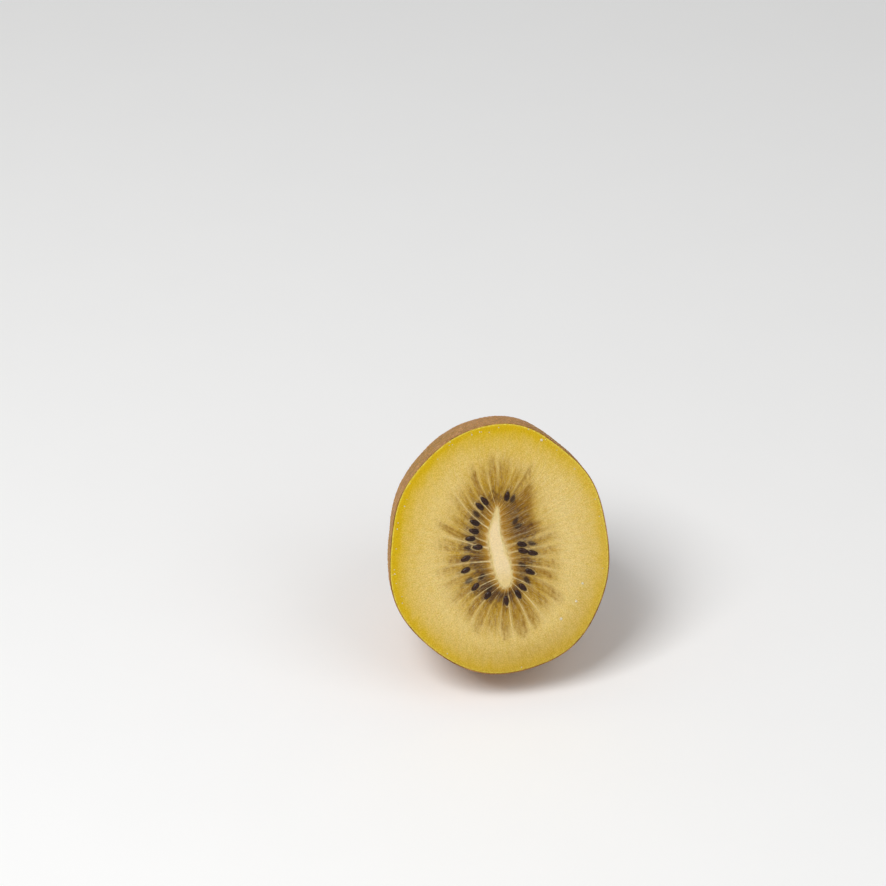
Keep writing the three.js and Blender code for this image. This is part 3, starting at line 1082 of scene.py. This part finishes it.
def build_flesh():
    """The flesh: one closed surface up the core's cavity, across the cut face and down the hidden side."""
    thickness = bpy.context.scene.kiwi_skin.thickness
    angle, place = locule_angles()
    places = face_place(angle, np.linspace(0, 1, FACE_ROWS))
    masks, relief = face_masks(angle, place, places)
    face = in_frame(places[..., 0], -relief, places[..., 1])

    cavity = in_frame(*(part[::-1] for part in core_wall(angle, FLESH_CAVITY_ROWS)))
    turn = wall_turns(FLESH_WALL_ROWS + 2)[1:-1]
    wall = in_frame(*body_wall(angle, turn, thickness))
    rows = settled(np.concatenate([cavity, face, wall]), thickness)
    first = in_frame(*core_end())
    last = in_frame(*body_end(thickness))
    padded = {}
    for name, values in masks.items():
        values = values + np.zeros((FACE_ROWS, len(angle)))
        before = np.repeat(values[:1], len(cavity), axis=0)
        after = np.repeat(values[-1:], len(wall), axis=0)
        padded[name] = np.concatenate([before, values, after])
    mesh = closed_surface("flesh_cut", rows, first, last, padded, flesh_material())
    return add_piece("flesh_cut", mesh, "flesh", "flesh")


def core_end():
    """The core's far end."""
    side, up = axis_at(np.array(CORE_LENGTH))
    return side, np.array(CORE_LENGTH), up


def body_end(inset):
    """The body's far end, at the bottom of the dimple, under a layer of the given thickness."""
    body = bpy.context.scene.kiwi_body
    depth = np.array(body.half_length - inset)
    side, up = axis_at(depth)
    return side, depth - DIMPLE_DEPTH, up


def build_core():
    """The core: a closed surface from the middle of its cut face over its edge to its far end.

    Its face swells as a parabola. Each locule bites a notch of its own into the edge's colour.
    """
    angle, place = locule_angles()
    side, up = core_outline(angle)
    share_out = np.linspace(0, 1, CORE_FACE_ROWS + 1)[1:]
    face_side = CORE_MIDDLE[0] + share_out[:, None] * (side - CORE_MIDDLE[0])
    face_up = CORE_MIDDLE[1] + share_out[:, None] * (up - CORE_MIDDLE[1])
    inwards = np.hypot(face_side - side, face_up - up)
    dome = CORE_DOME * (1 - share_out[:, None] ** 2) + 0 * face_side
    face = in_frame(face_side, -dome, face_up)
    wall = in_frame(*core_wall(angle, CORE_WALL_ROWS))
    beside = np.abs(place - np.round(place))
    bite = (0.35 + 0.4 * scatter(np.mod(np.round(place), LOCULES), 36)) * MM
    notch = 0.6 * ramp(beside, 0.45, 0.1) * ramp(inwards, bite, 0.0)
    edge = ramp(inwards, 1.2 * MM, 0.1 * MM) + ramp(np.abs(face_up - CORE_CENTRE), 4 * MM, 8 * MM)
    masks = {
        "notch": np.concatenate([notch, np.repeat(notch[-1:], len(wall), axis=0)]),
        "edge": np.concatenate([edge, np.repeat(edge[-1:], len(wall), axis=0)]),
    }
    first = in_frame(CORE_MIDDLE[0], -CORE_DOME, CORE_MIDDLE[1])
    rows = np.concatenate([face, wall])
    mesh = closed_surface("core_cut", rows, first, in_frame(*core_end()), masks, core_material())
    return add_piece("core_cut", mesh, "core", "core")


def build_skin():
    """The skin: a closed thin shell from inside the stem end to the cut edge and back over the outside.

    The outside moves along the gradient of side squared plus depth cubed plus height squared, each over
    the body's size. It is raised where scattered balls meet it, which gives the dots, sways by soft
    waves, and keeps its place at the cut edge.
    """
    body = bpy.context.scene.kiwi_body
    look = bpy.context.scene.kiwi_skin
    angle = np.arange(SKIN_COLUMNS) * 2 * math.pi / SKIN_COLUMNS
    inner_turn = wall_turns(SKIN_INNER_ROWS + 1)[:-1][::-1]
    inner = settled(in_frame(*body_wall(angle, inner_turn, look.thickness)), look.thickness)

    turn = wall_turns(SKIN_ROWS + 1)[:-1]
    side, depth, up = body_wall(angle, turn, 0)
    points = in_frame(side, depth, up)
    outwards = turned_back(
        side / body.half_width**2, depth**2 / body.half_length**3, up / body.half_height**2
    )
    outwards = outwards / np.linalg.norm(outwards, axis=-1, keepdims=True)
    dots = dot_field(points, look.dot_cell, look.dot_radius, 41)
    raised = look.dot_height * ramp(dots, 0.1 * MM, -0.22 * MM)
    sway = 0.05 * MM * cloud(points, 7 * MM, 51)
    lifted = (raised + sway - look.lowered) * ramp(depth, 0.0, 0.5 * MM)
    outer = settled(points + outwards * lifted[..., None], 0.0)
    dusk = 0.2 * ramp(turn[:, None], 1.1, 1.5) + 0.12 * cloud(points, 24 * MM, 61)
    scar_middle = in_frame(*body_end(0))
    from_scar = np.linalg.norm(points - scar_middle, axis=-1) + 1.2 * MM * cloud(points, 3 * MM, 63)
    rust = ramp(from_scar, look.scar_zone, 0.4 * look.scar_zone)
    rows = np.concatenate([inner, outer])
    inside = np.zeros((len(inner), SKIN_COLUMNS))
    cut = np.zeros(side.shape)
    cut[0] = 1
    masks = {
        "dot": np.concatenate([inside + look.dot_cell, dots]),
        "dusk": np.concatenate([inside, dusk]),
        "rust": np.concatenate([inside, rust]),
        "cut": np.concatenate([inside + 1, cut]),
    }
    first = in_frame(*body_end(look.thickness))
    last = in_frame(*body_end(look.lowered))
    mesh = closed_surface("skin_shell", rows, first, last, masks, skin_material())
    return add_piece("skin_shell", mesh, "skin", "skin")


def build_scar():
    """The stem scar: a thin woody lens in the dimple, whose height is a sum of curves of the radius.

    The curves are a bell in the middle for the plug, a bell round it for the ring, sine ridges between
    them, and an apron that falls into the skin at the edge.
    """
    body = bpy.context.scene.kiwi_body
    angle = np.arange(SCAR_COLUMNS) * 2 * math.pi / SCAR_COLUMNS
    radius = np.linspace(0, SCAR_RADIUS, SCAR_ROWS + 1)[1:, None]
    spread = radius * (1 + 0.05 * np.sin(3 * angle + 1) + 0.03 * np.sin(7 * angle))
    ring = SCAR_RING["height"] * bell(radius - SCAR_RING["radius"], SCAR_RING["spread"])
    ridges = SCAR_RIDGES["height"] * bell(radius - SCAR_RIDGES["radius"], SCAR_RIDGES["spread"])
    ridges = ridges * np.sin(SCAR_RIDGES["count"] * angle + 3 * np.sin(2 * angle))
    plug = SCAR_PLUG["height"] * bell(radius, SCAR_PLUG["spread"]) * (1 + 0.25 * np.sin(5 * angle + 2))
    fall = 0.35 * MM * ramp(radius, 3.2 * MM, SCAR_RADIUS) + 0.05 * MM
    bottom = body.half_length - DIMPLE_DEPTH * bell(radius, DIMPLE_SPREAD)
    depth = bottom + ring + ridges + plug - fall
    axis_side, axis_up = axis_at(depth)
    rows = in_frame(axis_side + spread * np.cos(angle), depth, axis_up + spread * np.sin(angle))[::-1]
    middle = body.half_length - DIMPLE_DEPTH
    top, low = (in_frame(body.bend_side, middle + lift, body.bend_up) for lift in (0.3 * MM, -0.25 * MM))
    masks = {
        "rind": bell(radius[::-1] - 2.6 * MM, 0.5 * MM) + 0 * spread,
        "apron": ramp(radius[::-1], 3.0 * MM, 3.7 * MM) + 0 * spread,
    }
    mesh = closed_surface("stem_scar", rows, low, top, masks, scar_material())
    return add_piece("stem_scar", mesh, "skin")


def build_seeds():
    """The bare seeds: each an egg-shaped ball whose outer end is narrower, half sunk in the face."""
    look = bpy.context.scene.kiwi_seeds
    material = seed_material()
    round_turn = np.arange(SEED_COLUMNS) * 2 * math.pi / SEED_COLUMNS
    along_turn = np.linspace(0, math.pi, SEED_ROWS + 2)[1:-1, None]
    along = -np.cos(along_turn) + 0 * round_turn
    girth = np.sin(along_turn) * (1 - look.taper * along)
    across = girth * np.cos(round_turn) * look.seed_width / 2
    lift = np.sin(along_turn) * np.sin(round_turn)
    lift = np.where(lift > 0, lift * look.proud, lift * look.root)
    meshes = []
    for index, (side, up, tilt, kind) in enumerate(seed_places()):
        if kind != "b":
            continue
        reach = along * look.seed_length / 2 * (1 + 0.12 * scatter(index, 5))
        place_side = side + reach * math.cos(tilt) - across * math.sin(tilt)
        place_up = up + reach * math.sin(tilt) + across * math.cos(tilt)
        rows = in_frame(place_side, -lift, place_up)
        ends = [
            in_frame(side + end * math.cos(tilt), 0.0, up + end * math.sin(tilt))
            for end in (reach.min() * 1.01, reach.max() * 1.01)
        ]
        meshes.append(closed_surface(f"seed_{index}", rows, ends[0], ends[1], {}, material))
    return add_piece("seeds_bare", joined_mesh("seeds_bare", meshes), "seed")


def build_juice():
    """The juice: small clear domes, part of a squashed ball each, a few large ones and many small."""
    look = bpy.context.scene.kiwi_juice
    thickness = bpy.context.scene.kiwi_skin.thickness
    random = np.random.default_rng(look.seed)
    material = juice_material()
    places = [(side * MM, up * MM, size * look.radius) for side, up, size in LARGE_DROPS]
    for _ in range(look.drops):
        headings = [random.normal(*heading) for heading in DROP_HEADINGS]
        angle = random.choice([*headings, random.uniform(0, 6.28)])
        side, up = outline(np.array(angle), thickness + random.uniform(0.25, 1.6) * MM)
        places.append((float(side), float(up), look.radius * random.uniform(0.25, 0.5)))
    around = np.arange(DROP_COLUMNS) * 2 * math.pi / DROP_COLUMNS
    lift = np.linspace(1, -0.35, DROP_ROWS + 1)[1:, None] * math.pi / 2
    meshes = []
    for index, (side, up, radius) in enumerate(places):
        spread = radius * np.cos(lift)
        depth = -DROP_HEIGHT * radius * np.sin(lift) + 0 * around
        rows = in_frame(side + spread * np.cos(around), depth, up + spread * np.sin(around))
        top = in_frame(side, -DROP_HEIGHT * radius, up)
        low = in_frame(side, DROP_ROOT * radius, up)
        meshes.append(closed_surface(f"drop_{index}", rows, top, low, {}, material))
    return add_piece("juice_drops", joined_mesh("juice_drops", meshes), "flesh")


# The stage

def build_floor():
    """A wide flat floor under the half: a disc with one ring of points."""
    around = np.arange(FLOOR_SIDES) * 2 * math.pi / FLOOR_SIDES
    points = np.stack([FLOOR_RADIUS * np.cos(around), FLOOR_RADIUS * np.sin(around), 0 * around], -1)
    mesh = bpy.data.meshes.new("floor")
    mesh.from_pydata(points.tolist(), [], [list(range(FLOOR_SIDES))])
    mesh.materials.append(floor_material())
    floor = bpy.data.objects.new("floor", mesh)
    bpy.context.scene.collection.objects.link(floor)


def direction(azimuth, elevation):
    """The direction from the half to a camera or a light, both angles in degrees."""
    turn = math.radians(azimuth)
    rise = math.radians(elevation)
    return Vector((math.sin(turn) * math.cos(rise), -math.cos(turn) * math.cos(rise), math.sin(rise)))


def build_camera():
    """The camera: it sees the face's centre at the photograph's pixel, from the photograph's angle."""
    back = direction(VIEW_AZIMUTH, VIEW_ELEVATION)
    right = direction(VIEW_AZIMUTH + 90, 0)
    top = back.cross(right)
    centre = Vector(FACE_CENTRE)
    off = [(FACE_PIXEL[i] - IMAGE_SIZE / 2) / PIXELS_PER_METRE for i in range(2)]
    aim = centre - off[0] * right + off[1] * top
    data = bpy.data.cameras.new("camera")
    data.sensor_width = SENSOR_WIDTH
    data.lens = SENSOR_WIDTH * PIXELS_PER_METRE * VIEW_DISTANCE / IMAGE_SIZE
    camera = bpy.data.objects.new("camera", data)
    camera.location = centre + back * VIEW_DISTANCE
    camera.rotation_euler = (aim - camera.location).to_track_quat("-Z", "Y").to_euler()
    bpy.context.scene.collection.objects.link(camera)
    bpy.context.scene.camera = camera


def add_light(name, power, azimuth, elevation, distance, size):
    """A soft square light that points at the half from a direction."""
    way = direction(azimuth, elevation)
    data = bpy.data.lights.new(name, "AREA")
    data.size = size
    data.energy = power
    light = bpy.data.objects.new(name, data)
    light.location = way * distance
    light.rotation_euler = (-way).to_track_quat("-Z", "Y").to_euler()
    bpy.context.scene.collection.objects.link(light)


def build_lights():
    """A large key light from the upper left, a weaker fill from the right, and an even pale sky."""
    look = bpy.context.scene.kiwi_stage
    add_light("key", look.key_power, **KEY_LIGHT)
    add_light("fill", look.fill_power, **FILL_LIGHT)
    world = bpy.data.worlds.new("pale_sky")
    world.use_nodes = True
    background = world.node_tree.nodes["Background"]
    background.inputs["Color"].default_value = (1.0, 1.0, 1.0, 1.0)
    background.inputs["Strength"].default_value = look.sky
    bpy.context.scene.world = world
    bpy.context.scene.view_settings.view_transform = "Standard"


# Operators, panel and main

class KIWI_OT_skin(bpy.types.Operator):
    """Build the skin and the stem scar"""

    bl_idname = "kiwi.skin"
    bl_label = "Skin and stem scar"

    def execute(self, context):
        build_skin()
        build_scar()
        return {"FINISHED"}


class KIWI_OT_flesh(bpy.types.Operator):
    """Build the flesh with its cut face"""

    bl_idname = "kiwi.flesh"
    bl_label = "Flesh"

    def execute(self, context):
        build_flesh()
        return {"FINISHED"}


class KIWI_OT_core(bpy.types.Operator):
    """Build the pale core"""

    bl_idname = "kiwi.core"
    bl_label = "Core"

    def execute(self, context):
        build_core()
        return {"FINISHED"}


class KIWI_OT_seeds(bpy.types.Operator):
    """Build the bare seeds"""

    bl_idname = "kiwi.seeds"
    bl_label = "Seeds"

    def execute(self, context):
        build_seeds()
        return {"FINISHED"}


class KIWI_OT_juice(bpy.types.Operator):
    """Build the small drops of juice"""

    bl_idname = "kiwi.juice"
    bl_label = "Juice"

    def execute(self, context):
        build_juice()
        return {"FINISHED"}


class KIWI_OT_stage(bpy.types.Operator):
    """Build the floor, the lights and the camera"""

    bl_idname = "kiwi.stage"
    bl_label = "Stage"

    def execute(self, context):
        build_floor()
        build_lights()
        build_camera()
        return {"FINISHED"}


OPERATORS = (KIWI_OT_stage, KIWI_OT_skin, KIWI_OT_flesh, KIWI_OT_core, KIWI_OT_seeds, KIWI_OT_juice)
GROUPS = {
    "kiwi_body": KiwiBody,
    "kiwi_skin": KiwiSkin,
    "kiwi_flesh": KiwiFlesh,
    "kiwi_seeds": KiwiSeeds,
    "kiwi_juice": KiwiJuice,
    "kiwi_stage": KiwiStage,
}


class KIWI_PT_panel(bpy.types.Panel):
    """The buttons that build the half"""

    bl_idname = "KIWI_PT_panel"
    bl_label = "Golden kiwi half"
    bl_space_type = "VIEW_3D"
    bl_region_type = "UI"
    bl_category = "Kiwi"

    def draw(self, context):
        for operator in OPERATORS:
            self.layout.operator(operator.bl_idname)


def register():
    """Registers the settings, the operators and the panel."""
    for name, group in GROUPS.items():
        bpy.utils.register_class(group)
        setattr(bpy.types.Scene, name, PointerProperty(type=group))
    for item in (*OPERATORS, KIWI_PT_panel):
        bpy.utils.register_class(item)


def unregister():
    """Takes the panel, the operators and the settings away again."""
    for item in (KIWI_PT_panel, *reversed(OPERATORS)):
        bpy.utils.unregister_class(item)
    for name, group in GROUPS.items():
        delattr(bpy.types.Scene, name)
        bpy.utils.unregister_class(group)


def main():
    """Builds the stage and every piece in order."""
    register()
    bpy.ops.kiwi.stage()
    bpy.ops.kiwi.skin()
    bpy.ops.kiwi.flesh()
    bpy.ops.kiwi.core()
    bpy.ops.kiwi.seeds()
    bpy.ops.kiwi.juice()


if __name__ == "__main__":
    main()
